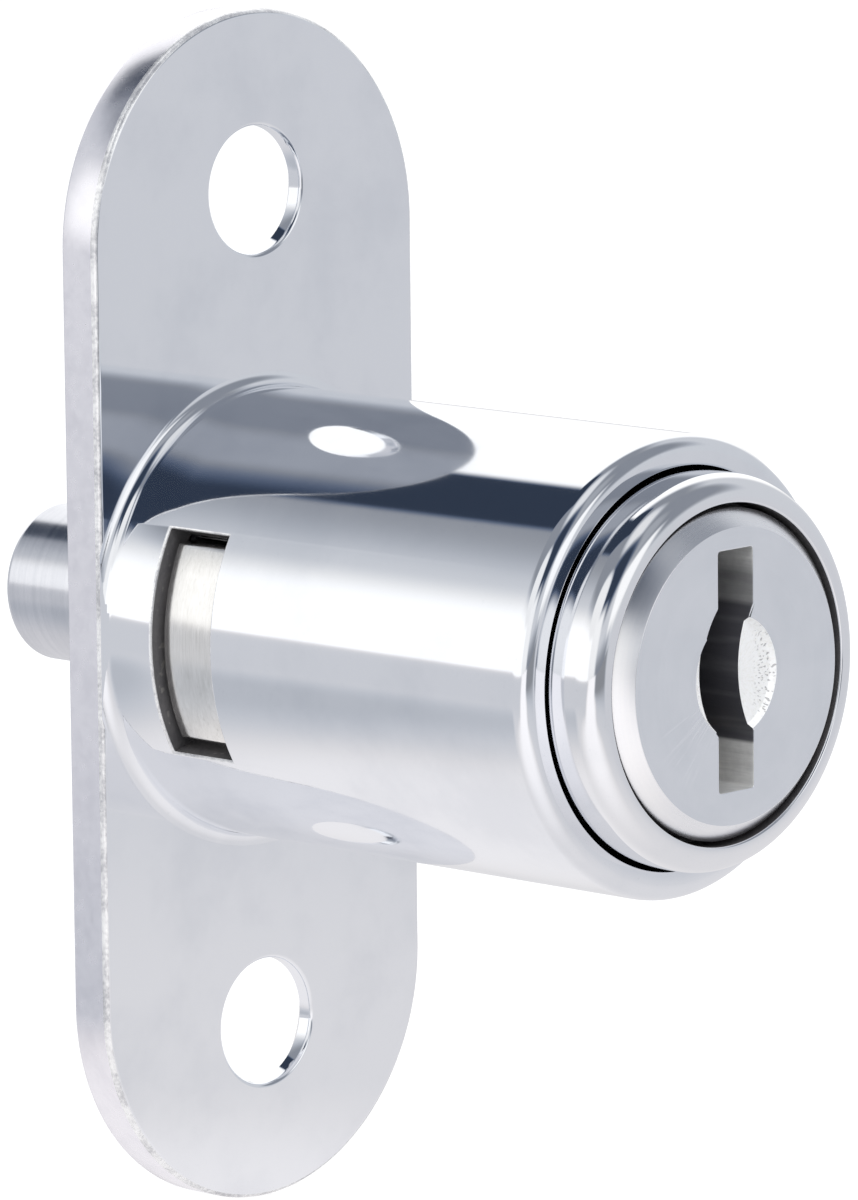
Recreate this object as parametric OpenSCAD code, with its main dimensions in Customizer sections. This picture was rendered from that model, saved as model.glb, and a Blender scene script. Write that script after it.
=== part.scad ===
// Push-type plunger lock for sliding doors and drawers, in millimetres.
// The key face points along -Y, X is to the right and Z is up.
// The plate's front face lies in the plane Y = 0 and the lock's axis is the Y axis.
// The lock is drawn pushed in and locked: the bolt stands out behind the plate.

/* [Mounting plate] */

// overall height of the plate
plate_length = 50.8; // [48:0.2:60]
// width of the plate, also the width of its round ends
plate_width = 19; // [19:0.2:24]
// thickness of the plate
plate_thickness = 2; // [1.6:0.1:3]
// distance between the two screw holes
hole_spacing = 35.6; // [33:0.2:37]
// diameter of the screw holes
hole_diameter = 5.4; // [4:0.1:5.8]
// depth of the countersink for the screw head, on the rear
countersink_depth = 1.3; // [0.6:0.1:1.4]
// small chamfer round the front edge of the screw holes
hole_edge = 0.2; // [0.1:0.05:0.3]

/* [Housing] */

// outer diameter of the housing, which fills the hole in the panel
housing_diameter = 19; // [18.6:0.2:20]
// length of the housing, from the plate's front face to the rim
housing_length = 23.9; // [22.4:0.1:28]
// bore that guides the barrel
housing_bore = 16.5; // [16.4:0.1:17]
// wall left behind the bore, round the bolt
rear_wall = 1.2; // [0.8:0.1:1.5]
// cast fillet where the housing meets the plate
base_fillet = 0.6; // [0.3:0.05:1]
// rounding of the rim, on the outside
rim_round = 0.7; // [0.3:0.05:0.9]
// rounding of the rim, on the inside
rim_inner_round = 0.2; // [0.1:0.05:0.4]

/* [Window and catch] */

// start of the window, from the plate's front face
window_start = 2.9; // [2.6:0.1:3.6]
// length of the window along the housing
window_length = 3.4; // [3:0.1:4]
// height of the window
window_height = 9.4; // [8.8:0.1:10]
// taper of the window's upper and lower walls, in degrees
window_draft = 18; // [0:1:20]
// how far the catch's face lies below the housing's surface
catch_depth = 0.5; // [0.4:0.05:0.6]
// gap above and below the catch
catch_side_gap = 0.6; // [0.4:0.05:0.8]
// gap behind the catch
catch_rear_gap = 0.25; // [0.2:0.05:0.4]
// gap between the catch and the window's front edge
catch_front_gap = 0.1; // [0.05:0.01:0.15]
// travel of the catch into the barrel
catch_travel = 1.2; // [1.1:0.05:1.3]
// reach of the catch past the lock's axis
catch_tail = 4.9; // [4.6:0.1:5]

/* [Barrel] */

// diameter of the barrel's nose, in front of its guided part
nose_diameter = 16.1; // [15.6:0.1:16.1]
// how far the locked barrel stands out of the rim
barrel_proud = 2.5; // [2:0.1:4]
// stroke of the barrel when it springs out
stroke = 9; // [7:0.5:9.5]
// start of the nose, from the plate's front face
nose_start = 14; // [13:0.1:14.4]
// rounding of the barrel's front edge
barrel_round = 1; // [0.6:0.05:1.2]
// rounding of the edge round the plug
barrel_inner_round = 0.1; // [0.05:0.05:0.4]
// thickness of the web that holds the plug from behind
web_thickness = 0.8; // [0.6:0.05:0.9]
// depth of the chamber for the plug's clip
chamber_depth = 2; // [1.9:0.05:2.1]
// diameter of the chamber for the plug's clip
chamber_diameter = 8.8; // [8.5:0.1:9.6]

/* [Bolt] */

// diameter of the bolt's free end
bolt_diameter = 6.8; // [6:0.1:7]
// diameter of the bolt's neck, where it passes the rear wall
neck_diameter = 5.8; // [5:0.1:6]
// reach of the locked bolt behind the plate
bolt_projection = 10.2; // [9.8:0.1:14]
// chamfer of the bolt's free end
bolt_chamfer = 0.3; // [0.1:0.05:0.6]
// radial gap between the bolt and the rear wall
bolt_gap = 0.1; // [0.05:0.01:0.2]
// diameter of the spigot staked in the end disc
spigot_diameter = 4.4; // [3.6:0.1:5]
// thickness of the end disc that carries the bolt
disc_thickness = 1.4; // [1.2:0.05:1.5]

/* [Disc screws] */

// distance of each screw from the lock's axis
screw_offset = 6.2; // [6.1:0.05:6.4]
// diameter of the screws
screw_diameter = 1.6; // [1.4:0.05:1.8]
// diameter of the screw heads
screw_head = 3; // [2.6:0.05:3.2]
// depth of the countersunk screw heads
screw_head_depth = 0.7; // [0.5:0.05:0.8]
// length of the screws below the end disc
screw_length = 3.7; // [3:0.1:4.2]

/* [Guide pin] */

// diameter of the pin that keeps the barrel from turning
guide_pin_diameter = 2; // [1.6:0.1:2.2]
// place of the pin, from the plate's front face
guide_pin_place = 18; // [17.8:0.1:18.6]
// bite of the pin into the barrel's groove
guide_pin_bite = 0.9; // [0.6:0.05:1]

/* [Plug] */

// diameter of the plug's head
head_diameter = 13.44; // [13:0.02:13.6]
// length of the plug's head
head_length = 2; // [1.6:0.1:2.2]
// bevel round the plug's head
head_bevel = 0.6; // [0.3:0.05:0.9]
// how far the plug stands out of the barrel
plug_proud = 0.2; // [0:0.05:0.3]
// radial gap round the plug's head
head_gap = 0.28; // [0.2:0.02:0.3]
// diameter of the plug's body
plug_diameter = 12; // [11.8:0.05:12.2]
// diameter of the plug's tail
tail_diameter = 6.4; // [5.8:0.1:6.8]
// diameter of the shallow dimple in the key face
face_dimple_diameter = 4.9; // [4:0.1:5.6]
// depth of the shallow dimple in the key face
face_dimple_depth = 0.35; // [0.2:0.05:0.8]

/* [Keyway] */

// height of the keyway
keyway_height = 9.8; // [9:0.1:10]
// width of the keyway
keyway_width = 2.06; // [1.6:0.02:2.3]
// sideways bow of the keyway's middle
keyway_bow = 1; // [0.7:0.05:1.1]
// height of the bowed part
keyway_bow_height = 5.2; // [4.6:0.1:5.4]
// how far the keyway's middle lies above the lock's axis
keyway_rise = 0.25; // [0:0.05:0.3]

/* [Wafers] */

// thickness of a wafer
wafer_thickness = 1.2; // [1:0.05:1.3]
// width of a wafer
wafer_width = 6.6; // [6.3:0.05:6.7]
// distance between wafers
wafer_pitch = 2.2; // [2.15:0.01:2.22]
// first wafer, behind the plug's head
wafer_first = 2; // [1.9:0.05:2.05]
// height of the opening in a wafer
wafer_opening = 8.8; // [8.4:0.1:9]
// depth of the channels in the barrel above and below the wafers
wafer_channel_depth = 1.15; // [0.9:0.05:1.25]
// length of the ear that its spring lifts
wafer_ear = 1.1; // [0.9:0.05:1.15]

/* [Drive pin and clip] */

// diameter of the eccentric pin that draws the catch
drive_pin_diameter = 2; // [1.6:0.1:2.2]
// depth of the drive pin in the plug's tail
drive_pin_depth = 2.9; // [2:0.1:3]
// thickness of the plug's clip
clip_thickness = 0.55; // [0.4:0.05:0.6]
// outer diameter of the plug's clip
clip_diameter = 8.2; // [7.8:0.1:8.3]
// diameter of the groove in the plug's tail
clip_groove_diameter = 5.2; // [4.8:0.1:5.5]
// width of the clip's mouth
clip_mouth = 4.2; // [3.6:0.1:4.4]

/* [Springs] */

// width of the main spring's flat wire
main_wire = 0.6; // [0.4:0.05:0.7]
// height of the main spring's flat wire
main_wire_height = 0.3; // [0.2:0.05:0.5]
// coil diameter of the main spring at the rear wall
main_large = 14.8; // [13.6:0.1:15.2]
// coil diameter of the main spring at the end disc
main_small = 8.6; // [8.4:0.1:9]
// wire of the catch's spring
catch_wire = 0.3; // [0.2:0.05:0.35]
// coil diameter of the catch's spring
catch_coil = 1.9; // [1.6:0.05:2]
// length of the pocket in the catch for its spring
catch_pocket = 2.9; // [2.4:0.1:3]
// wire of the wafers' springs
wafer_wire = 0.2; // [0.15:0.01:0.22]
// coil diameter of the wafers' springs
wafer_coil = 0.8; // [0.7:0.02:0.86]
// length of the wafers' springs
wafer_spring_length = 2.6; // [2.4:0.05:2.8]

/* [Fits] */

// radial gap of a piece that runs in a bore
running_gap = 0.05; // [0.03:0.01:0.08]
// gap on each side of a piece that slides in a slot
slide_gap = 0.1; // [0.06:0.01:0.12]
// gap round a piece that is pressed or staked in
press_gap = 0.01; // [0:0.005:0.02]

/* [Hidden] */

$fn = 96;
big = 100;
skin = 0.02;
wafer_count = 6;
spring_rings = 8;
spring_sides = 6;
main_turns = 3;
catch_turns = 5;
wafer_turns = 3;

chrome = [0.80, 0.82, 0.85];
satin = [0.70, 0.70, 0.68];
steel = [0.55, 0.57, 0.60];
spring_steel = [0.40, 0.42, 0.46];
brass = [0.80, 0.65, 0.35];

// radii
housing_r = housing_diameter / 2;
bore_r = housing_bore / 2;
guide_r = bore_r - running_gap;
nose_r = nose_diameter / 2;
bolt_r = bolt_diameter / 2;
neck_r = neck_diameter / 2;
spigot_r = spigot_diameter / 2;
head_r = head_diameter / 2;
head_bore_r = head_r + head_gap;
plug_r = plug_diameter / 2;
plug_bore_r = plug_r + running_gap;
tail_r = tail_diameter / 2;
chamber_r = chamber_diameter / 2;
catch_r = housing_r - catch_depth;
drive_r = drive_pin_diameter / 2;
guide_pin_r = guide_pin_diameter / 2;
clip_r = clip_diameter / 2;
clip_groove_r = clip_groove_diameter / 2;

// stations along the axis, counted forward from the plate's front face
floor_z = rear_wall - plate_thickness;
window_end = window_start + window_length;
catch_rear = window_start + catch_rear_gap;
catch_front = window_end - catch_front_gap;
barrel_rear = catch_rear - slide_gap;
slot_front = catch_front + slide_gap;
disc_rear = barrel_rear - disc_thickness;
barrel_front = housing_length + barrel_proud;
plug_front = barrel_front + plug_proud;
head_rear = plug_front - head_length;
head_seat = head_rear - running_gap;
web_rear = slot_front + chamber_depth;
web_front = web_rear + web_thickness;
plug_rear = web_front + running_gap;
tail_rear = catch_front + 0.3;
clip_front = web_rear - slide_gap;
clip_rear = clip_front - clip_thickness;
drive_rear = catch_rear + 0.25;
drive_front = tail_rear + drive_pin_depth;
bolt_end = -plate_thickness - bolt_projection;
neck_end = -plate_thickness - 0.3;

// the catch and its drive
catch_half = window_height / 2 - catch_side_gap;
slot_half = catch_half + slide_gap;
slot_end = catch_tail + catch_travel + 0.2;
drive_offset = catch_travel / sqrt(2);
drive_x = -drive_offset * sin(45);
drive_y = drive_offset * cos(45);
drive_slack = 0.08;
relief_tilt = atan(catch_travel / stroke);
relief_reach = stroke * 0.95;
catch_pocket_r = catch_coil / 2 + catch_wire / 2 + 0.2;
pocket_end = catch_tail - catch_pocket;

// the guide groove, as long as the stroke
groove_floor = guide_r - guide_pin_bite - 0.2;
pin_inner = guide_r - guide_pin_bite;
groove_half = guide_pin_r + running_gap;

// wafers and their ears
wafer_r = plug_r - running_gap;
wafer_slot = wafer_thickness + 2 * running_gap;
wafer_half = wafer_width / 2;
wafer_lead = head_rear - wafer_first;
wafer_last = wafer_lead - (wafer_count - 1) * wafer_pitch;
keyway_rear = wafer_last - wafer_slot / 2 - 0.75;
ear_low = 0.4;
ear_high = 1.4;
ear_x = wafer_half + wafer_ear / 2;
pocket_low = ear_low - wafer_spring_length - 0.05;
channel_r = plug_bore_r + wafer_channel_depth;
channel_half = wafer_half + slide_gap;
channel_rear = wafer_last - wafer_thickness;
channel_front = wafer_lead + wafer_thickness;

// cuts of the six wafers: how far each opening lies above the middle
wafer_cuts = [0.35, -0.25, 0.1, -0.4, 0.25, -0.1];

// keyway bow
bow_half = keyway_bow_height / 2;
bow_r = (bow_half * bow_half + keyway_bow * keyway_bow) / (2 * keyway_bow);
opening_left = keyway_width / 2 + keyway_bow + 0.2;
opening_right = keyway_width / 2 + 0.2;

// Stands a piece that was drawn along +Z on the lock's axis, facing -Y.
module on_axis() {
  rotate([90, 0, 0]) children();
}

module disc_at(from, to, radius) {
  translate([0, 0, from]) cylinder(h = to - from, r = radius);
}

// What a rounded outer corner loses, in the plane of a revolve.
module corner_cut(radius, outer) {
  mirror([outer ? 0 : 1, 0, 0])
    difference() {
      square([radius + 1, radius + 1]);
      circle(r = radius);
    }
}

// Plate outline: a bar with full round ends.
module plate_outline() {
  straight = plate_length - plate_width;
  square([plate_width, straight], center = true);
  for (side = [-1, 1])
    translate([0, side * straight / 2]) circle(d = plate_width);
}

module screw_hole() {
  cone = countersink_depth + 1;
  translate([0, 0, -plate_thickness - 1]) cylinder(h = plate_thickness + 2, d = hole_diameter);
  translate([0, 0, -plate_thickness - 1])
    cylinder(h = cone, r1 = hole_diameter / 2 + cone, r2 = hole_diameter / 2);
  translate([0, 0, -hole_edge])
    cylinder(h = hole_edge + 1, r1 = hole_diameter / 2, r2 = hole_diameter / 2 + hole_edge + 1);
}

// Outside of the housing, with its rounded rim.
module housing_form() {
  rotate_extrude()
    difference() {
      translate([0, floor_z]) square([housing_r, housing_length - floor_z]);
      translate([housing_r - rim_round, housing_length - rim_round]) corner_cut(rim_round, true);
    }
}

// Fillet at the foot of the housing, cut off at the edges of the plate.
module housing_fillet() {
  intersection() {
    rotate_extrude()
      translate([housing_r - skin, 0])
        difference() {
          translate([0, -skin]) square([base_fillet + skin, base_fillet + skin]);
          translate([base_fillet + skin, base_fillet]) circle(r = base_fillet);
        }
    translate([-plate_width / 2, -big / 2, -big / 2]) cube([plate_width, big, big]);
  }
}

// Bore with its rounded mouth.
module housing_hollow() {
  disc_at(floor_z, housing_length + 1, bore_r);
  rotate_extrude()
    translate([bore_r + rim_inner_round, housing_length - rim_inner_round])
      corner_cut(rim_inner_round, false);
}

// Ramp under the skin in front of the window, along which the catch slips inward.
module catch_relief() {
  intersection() {
    translate([0, 0, catch_front])
      rotate([0, relief_tilt, 0])
        translate([0, 0, -window_length]) cylinder(h = relief_reach + 2 * window_length, r = catch_r + 0.05);
    translate([-big, -slot_half - 0.05, window_end - 0.5]) cube([big - 4, 2 * slot_half + 0.1, relief_reach]);
  }
}

// Window on the left: its upper and lower walls close in towards the bore.
module window_cut() {
  edge = sqrt(housing_r * housing_r - window_height * window_height / 4);
  out = 5;
  flare = tan(window_draft);
  low = window_height / 2 - (edge - 4) * flare;
  high = window_height / 2 + out * flare;
  translate([0, 0, window_start])
    linear_extrude(height = window_length)
      polygon([[-4, -low], [-edge - out, -high], [-edge - out, high], [-4, low]]);
}

module housing() {
  color(chrome) on_axis()
    difference() {
      union() {
        translate([0, 0, -plate_thickness]) linear_extrude(height = plate_thickness) plate_outline();
        housing_form();
        housing_fillet();
      }
      housing_hollow();
      disc_at(-plate_thickness - 1, floor_z + 1, bolt_r + bolt_gap);
      for (side = [-1, 1]) translate([0, side * hole_spacing / 2, 0]) screw_hole();
      window_cut();
      catch_relief();
      translate([0, 0, guide_pin_place]) rotate([0, 90, 0]) cylinder(h = big, r = guide_pin_r + press_gap);
    }
}

module guide_pin() {
  color(steel) on_axis()
    intersection() {
      translate([pin_inner, 0, guide_pin_place]) rotate([0, 90, 0]) cylinder(h = big, r = guide_pin_r);
      disc_at(0, housing_length, housing_r);
    }
}

// Outside of the barrel: guided part, short cone, nose with a rounded edge.
module barrel_form() {
  cone = guide_r - nose_r;
  disc_at(barrel_rear, nose_start - cone, guide_r);
  translate([0, 0, nose_start - cone]) cylinder(h = cone, r1 = guide_r, r2 = nose_r);
  rotate_extrude()
    difference() {
      translate([0, nose_start - 1]) square([nose_r, barrel_front - nose_start + 1]);
      translate([nose_r - barrel_round, barrel_front - barrel_round]) corner_cut(barrel_round, true);
    }
}

module barrel_hollow() {
  disc_at(head_seat, barrel_front + 1, head_bore_r);
  disc_at(web_front, head_seat + 1, plug_bore_r);
  disc_at(web_rear - 1, web_front + 1, tail_r + slide_gap);
  disc_at(slot_front - 1, web_rear, chamber_r);
  rotate_extrude()
    translate([head_bore_r + barrel_inner_round, barrel_front - barrel_inner_round])
      corner_cut(barrel_inner_round, false);
}

module guide_groove() {
  first = guide_pin_place - stroke;
  translate([groove_floor, -groove_half, first]) cube([big, 2 * groove_half, stroke]);
  for (z = [first, guide_pin_place])
    translate([groove_floor, 0, z]) rotate([0, 90, 0]) cylinder(h = big, r = groove_half);
}

module wafer_channels() {
  intersection() {
    translate([-channel_half, -big / 2, channel_rear])
      cube([2 * channel_half, big, channel_front - channel_rear]);
    disc_at(channel_rear - 1, channel_front + 1, channel_r);
  }
}

module barrel() {
  color(chrome) on_axis()
    difference() {
      barrel_form();
      barrel_hollow();
      guide_groove();
      wafer_channels();
      translate([-big, -slot_half, barrel_rear - 1]) cube([big + slot_end, 2 * slot_half, slot_front - barrel_rear + 1]);
      for (side = [-1, 1])
        translate([0, side * screw_offset, 0])
          disc_at(barrel_rear - 1, barrel_rear + screw_length + 0.3, screw_diameter / 2 + press_gap);
    }
}

module end_disc() {
  color(satin) on_axis()
    difference() {
      disc_at(disc_rear, barrel_rear, guide_r - slide_gap);
      disc_at(disc_rear - 1, barrel_rear + 1, spigot_r + press_gap);
      for (side = [-1, 1]) translate([0, side * screw_offset, 0]) {
        disc_at(disc_rear - 1, barrel_rear + 1, screw_diameter / 2 + press_gap);
        translate([0, 0, disc_rear])
          cylinder(h = screw_head_depth, r1 = screw_head / 2 + press_gap, r2 = screw_diameter / 2 + press_gap);
      }
    }
}

module bolt() {
  color(steel) on_axis() {
    disc_at(disc_rear - skin, barrel_rear, spigot_r);
    disc_at(neck_end - skin, disc_rear, neck_r);
    disc_at(bolt_end + bolt_chamfer, neck_end, bolt_r);
    translate([0, 0, bolt_end]) cylinder(h = bolt_chamfer, r1 = bolt_r - bolt_chamfer, r2 = bolt_r);
  }
}

// Countersunk screws that hold the end disc, with a slot for the driver.
module disc_screws() {
  color(steel) on_axis()
    for (side = [-1, 1]) translate([0, side * screw_offset, 0])
      difference() {
        union() {
          translate([0, 0, disc_rear])
            cylinder(h = screw_head_depth, r1 = screw_head / 2, r2 = screw_diameter / 2);
          disc_at(disc_rear + screw_head_depth - skin, barrel_rear + screw_length, screw_diameter / 2);
        }
        translate([-screw_head, -0.2, disc_rear - 1]) cube([2 * screw_head, 0.4, 1.3]);
      }
}

// Sliding catch: round face outward, slot for the drive pin, pocket for its spring.
module catch() {
  height = catch_front - catch_rear;
  color(satin) on_axis()
    difference() {
      intersection() {
        translate([-big, -catch_half, catch_rear]) cube([big + catch_tail, 2 * catch_half, height]);
        disc_at(catch_rear, catch_front, catch_r);
      }
      translate([drive_x, 0, 0])
        for (y = [drive_y, drive_offset])
          translate([0, y, 0]) disc_at(catch_rear - 1, catch_front + 1, drive_r + drive_slack);
      translate([drive_x - drive_r - drive_slack, drive_y, catch_rear - 1])
        cube([2 * (drive_r + drive_slack), drive_offset - drive_y, height + 2]);
      translate([pocket_end, 0, (catch_rear + catch_front) / 2])
        rotate([0, 90, 0]) cylinder(h = big, r = catch_pocket_r);
    }
}

// Straight ends and a middle that bows to the left, all of one width.
module keyway_outline() {
  straight = (keyway_height - keyway_bow_height) / 2;
  for (side = [-1, 1])
    translate([-keyway_width / 2, side > 0 ? bow_half : -keyway_height / 2]) square([keyway_width, straight]);
  intersection() {
    translate([-big / 2, -bow_half - skin]) square([big / 2 + keyway_width, keyway_bow_height + 2 * skin]);
    difference() {
      translate([bow_r - keyway_bow - keyway_width / 2, 0]) circle(r = bow_r);
      translate([bow_r - keyway_bow + keyway_width / 2, 0]) circle(r = bow_r);
    }
  }
}

module plug_form() {
  translate([0, 0, plug_front - head_bevel]) cylinder(h = head_bevel, r1 = head_r, r2 = head_r - head_bevel);
  disc_at(head_rear, plug_front - head_bevel, head_r);
  disc_at(plug_rear, head_rear, plug_r);
  disc_at(tail_rear, plug_rear, tail_r);
}

module wafer_slot_cut(z) {
  translate([-wafer_half - running_gap, -big / 2, z - wafer_slot / 2])
    cube([wafer_width + 2 * running_gap, big, wafer_slot]);
  translate([wafer_half, ear_low - 0.05, z - wafer_slot / 2])
    cube([wafer_ear + slide_gap, big, wafer_slot]);
  translate([ear_x, ear_low, z]) rotate([90, 0, 0]) cylinder(h = ear_low - pocket_low, r = wafer_slot / 2 - skin);
}

module plug() {
  color(satin) on_axis()
    difference() {
      plug_form();
      translate([0, keyway_rise, keyway_rear]) linear_extrude(height = big) keyway_outline();
      translate([0, 0, plug_front - face_dimple_depth])
        cylinder(h = face_dimple_depth, r1 = face_dimple_diameter / 2 - face_dimple_depth, r2 = face_dimple_diameter / 2);
      intersection() {
        for (i = [0 : wafer_count - 1]) wafer_slot_cut(wafer_lead - i * wafer_pitch);
        disc_at(plug_rear, head_rear - skin, plug_r + 1);
      }
      difference() {
        disc_at(clip_rear - running_gap, clip_front + running_gap, tail_r + 1);
        disc_at(clip_rear - 1, clip_front + 1, clip_groove_r);
      }
      translate([drive_x, drive_y, 0]) disc_at(tail_rear - 1, drive_front, drive_r + press_gap);
    }
}

module drive_pin() {
  color(steel) on_axis()
    translate([drive_x, drive_y, 0]) disc_at(drive_rear, drive_front - skin, drive_r);
}

// Open ring that snaps into the groove of the plug's tail.
module plug_clip() {
  color(spring_steel) on_axis()
    difference() {
      disc_at(clip_rear, clip_front, clip_r);
      disc_at(clip_rear - 1, clip_front + 1, clip_groove_r + running_gap);
      translate([-clip_mouth / 2, -big, clip_rear - 1]) cube([clip_mouth, big, clip_thickness + 2]);
    }
}

module wafer(i) {
  color(brass) on_axis()
    translate([0, 0, wafer_lead - i * wafer_pitch - wafer_thickness / 2])
      linear_extrude(height = wafer_thickness)
        difference() {
          union() {
            intersection() {
              circle(r = wafer_r);
              square([wafer_width, big], center = true);
            }
            translate([wafer_half - skin, ear_low]) square([wafer_ear + skin, ear_high - ear_low]);
          }
          translate([-opening_left, keyway_rise + wafer_cuts[i] - wafer_opening / 2])
            square([opening_left + opening_right, wafer_opening]);
        }
}

module wafer_1() { wafer(0); }
module wafer_2() { wafer(1); }
module wafer_3() { wafer(2); }
module wafer_4() { wafer(3); }
module wafer_5() { wafer(4); }
module wafer_6() { wafer(5); }

// Middle line of a coil that climbs from z = 0 to height, with straight ends one wire long.
function coil_turn(k, r0, r1, height, last) =
  let(a = 360 * k / spring_rings, r = r0 + (r1 - r0) * k / last)
  [r * cos(a), r * sin(a), height * k / last];

function coil_line(r0, r1, height, turns, wire) =
  let(
    last = turns * spring_rings,
    path = [for (k = [0 : last]) coil_turn(k, r0, r1, height, last)],
    end = 360 * turns
  )
  concat(
    [path[0] + wire * [0, -1, 0]],
    path,
    [path[last] + wire * [-sin(end), cos(end), 0]]
  );

// Least gap between two stretches of the wire that lie at least half a turn apart.
function coil_gap(line, wire) =
  min([
    for (i = [0 : len(line) - 1])
      for (j = [i + spring_rings / 2 : 1 : len(line) - 1])
        norm(line[i] - line[j])
  ]) - wire;

module coil(r0, r1, height, turns, wire, wire_height) {
  line = coil_line(r0, r1, height, turns, wire);
  count = len(line);
  sides = spring_sides;
  angles = [for (k = [0 : count - 1]) 360 * min(max(k - 1, 0), count - 3) / spring_rings];
  points = [
    for (k = [0 : count - 1])
      for (s = [0 : sides - 1])
        let(b = 360 * s / sides, u = wire / 2 * cos(b), w = wire_height / 2 * sin(b))
        line[k] + [u * cos(angles[k]), u * sin(angles[k]), w]
  ];
  wall = [
    for (k = [0 : count - 2])
      for (s = [0 : sides - 1])
        let(a = k * sides + s, b = k * sides + (s + 1) % sides)
        each [[a, b, b + sides], [a, b + sides, a + sides]]
  ];
  near = [for (s = [1 : sides - 2]) [0, s + 1, s]];
  far = [for (s = [1 : sides - 2]) (count - 1) * sides * [1, 1, 1] + [0, s, s + 1]];
  polyhedron(points = points, faces = concat(wall, near, far), convexity = 10);
}

main_height = disc_rear - floor_z - main_wire_height - 2 * skin;
catch_spring_length = slot_end - pocket_end;
catch_height = catch_spring_length - catch_wire - 2 * skin;
wafer_height = wafer_spring_length - wafer_wire - 2 * skin;

// Conical and of flat wire, so that its turns nest when the barrel is pushed in.
module main_spring() {
  color(spring_steel) on_axis()
    translate([0, 0, floor_z + main_wire_height / 2 + skin])
      coil(main_large / 2, main_small / 2, main_height, main_turns, main_wire, main_wire_height);
}

module catch_spring() {
  color(spring_steel) on_axis()
    translate([pocket_end + catch_wire / 2 + skin, 0, (catch_rear + catch_front) / 2])
      rotate([0, 90, 0]) coil(catch_coil / 2, catch_coil / 2, catch_height, catch_turns, catch_wire, catch_wire);
}

module wafer_springs() {
  color(spring_steel) on_axis()
    for (i = [0 : wafer_count - 1])
      translate([ear_x, ear_low - wafer_spring_length + wafer_wire / 2, wafer_lead - i * wafer_pitch])
        rotate([-90, 0, 0]) coil(wafer_coil / 2, wafer_coil / 2, wafer_height, wafer_turns, wafer_wire, wafer_wire);
}

echo(main_spring_gap = coil_gap(coil_line(main_large / 2, main_small / 2, main_height, main_turns, main_wire), main_wire));
echo(catch_spring_gap = coil_gap(coil_line(catch_coil / 2, catch_coil / 2, catch_height, catch_turns, catch_wire), catch_wire));
echo(wafer_spring_gap = coil_gap(coil_line(wafer_coil / 2, wafer_coil / 2, wafer_height, wafer_turns, wafer_wire), wafer_wire));

housing();
guide_pin();
main_spring();
barrel();
end_disc();
bolt();
disc_screws();
catch_spring();
catch();
plug();
drive_pin();
plug_clip();
wafer_springs();
wafer_1();
wafer_2();
wafer_3();
wafer_4();
wafer_5();
wafer_6();
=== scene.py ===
# %% [markdown]
# # A push lock for a sliding door or a drawer
#
# The lock is a small chromed casting: an upright plate with two screw holes and a thick tube that
# goes through the door. A barrel slides in the tube and carries the bolt behind the plate, and a
# plug with a keyway turns in the barrel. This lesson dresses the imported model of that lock. The
# model gives the sizes and the motion, and each cell below makes one piece or one finish of it.

from math import asin, cos, hypot, pi, radians, sin, sqrt, tan

import bmesh
import bpy
from mathutils import Matrix, Vector


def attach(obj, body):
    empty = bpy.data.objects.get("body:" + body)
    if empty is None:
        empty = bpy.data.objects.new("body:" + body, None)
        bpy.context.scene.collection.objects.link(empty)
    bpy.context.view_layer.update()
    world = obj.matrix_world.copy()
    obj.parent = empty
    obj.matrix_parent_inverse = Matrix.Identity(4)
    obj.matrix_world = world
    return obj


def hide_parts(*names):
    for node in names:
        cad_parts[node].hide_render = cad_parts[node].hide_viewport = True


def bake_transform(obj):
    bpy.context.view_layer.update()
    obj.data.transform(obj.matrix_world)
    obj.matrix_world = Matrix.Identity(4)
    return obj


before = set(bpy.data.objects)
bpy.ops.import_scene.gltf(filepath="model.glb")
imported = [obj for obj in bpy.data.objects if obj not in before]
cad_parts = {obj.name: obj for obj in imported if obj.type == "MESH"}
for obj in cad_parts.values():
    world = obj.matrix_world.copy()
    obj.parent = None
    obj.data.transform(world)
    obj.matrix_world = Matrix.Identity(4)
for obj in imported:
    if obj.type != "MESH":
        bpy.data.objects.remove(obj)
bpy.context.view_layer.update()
print("nodes:", sorted(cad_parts))

# %% [markdown]
# ## Sizes
#
# Lengths are easier to read in millimetres, so every size below is one, and `MM` turns it into
# Blender's metres. The lock's axis is the Y axis and the key face points along -Y, so a place
# along the lock is given as "forward": how far it lies in front of the plate's front face.

# %% The sizes that several pieces share
MM = 0.001
PLATE_WIDTH = 19.0
PLATE_LENGTH = 50.8
PLATE_THICKNESS = 2.0
HOUSING_RADIUS = 9.5
ROOT_RADIUS = 9.0
BARREL_REAR = 3.05


def place(across, forward, up):
    """A point in metres from its place on the lock in millimetres."""
    return Vector((across, -forward, up)) * MM


print("plate", PLATE_LENGTH, "x", PLATE_WIDTH, "mm, housing", 2 * HOUSING_RADIUS, "mm across")

# %% [markdown]
# ## Drawing a profile
#
# Nearly every piece of a lock is turned or die-cast round one axis, so its shape is a profile: a
# chain of corners, each at a radius and a place forward. Bevelling a corner of the chain before it
# is spun rounds the finished edge all the way round, and costs one vertex operation.

# %% Draw a chain of corners and round them
def round_corner(bm, vertex, radius, segments):
    """Rounds one corner of a chain of edges with an arc."""
    arms = [edge.other_vert(vertex).co - vertex.co for edge in vertex.link_edges]
    reach = radius * MM / tan(arms[0].angle(arms[1]) / 2)
    bmesh.ops.bevel(bm, geom=[vertex], offset=reach, segments=segments, profile=0.5,
                    affect="VERTICES", material=-1)


def draw_profile(bm, corners, closed=True, segments=8):
    """Draws corners of (radius, forward) or (radius, forward, rounding) above the axis."""
    chain = [bm.verts.new(place(0, corner[1], corner[0])) for corner in corners]
    following = chain[1:] + chain[:1] if closed else chain[1:]
    for pair in zip(chain, following):
        bm.edges.new(pair)
    for vertex, corner in zip(chain, corners):
        if len(corner) > 2:
            round_corner(bm, vertex, corner[2], segments)


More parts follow.
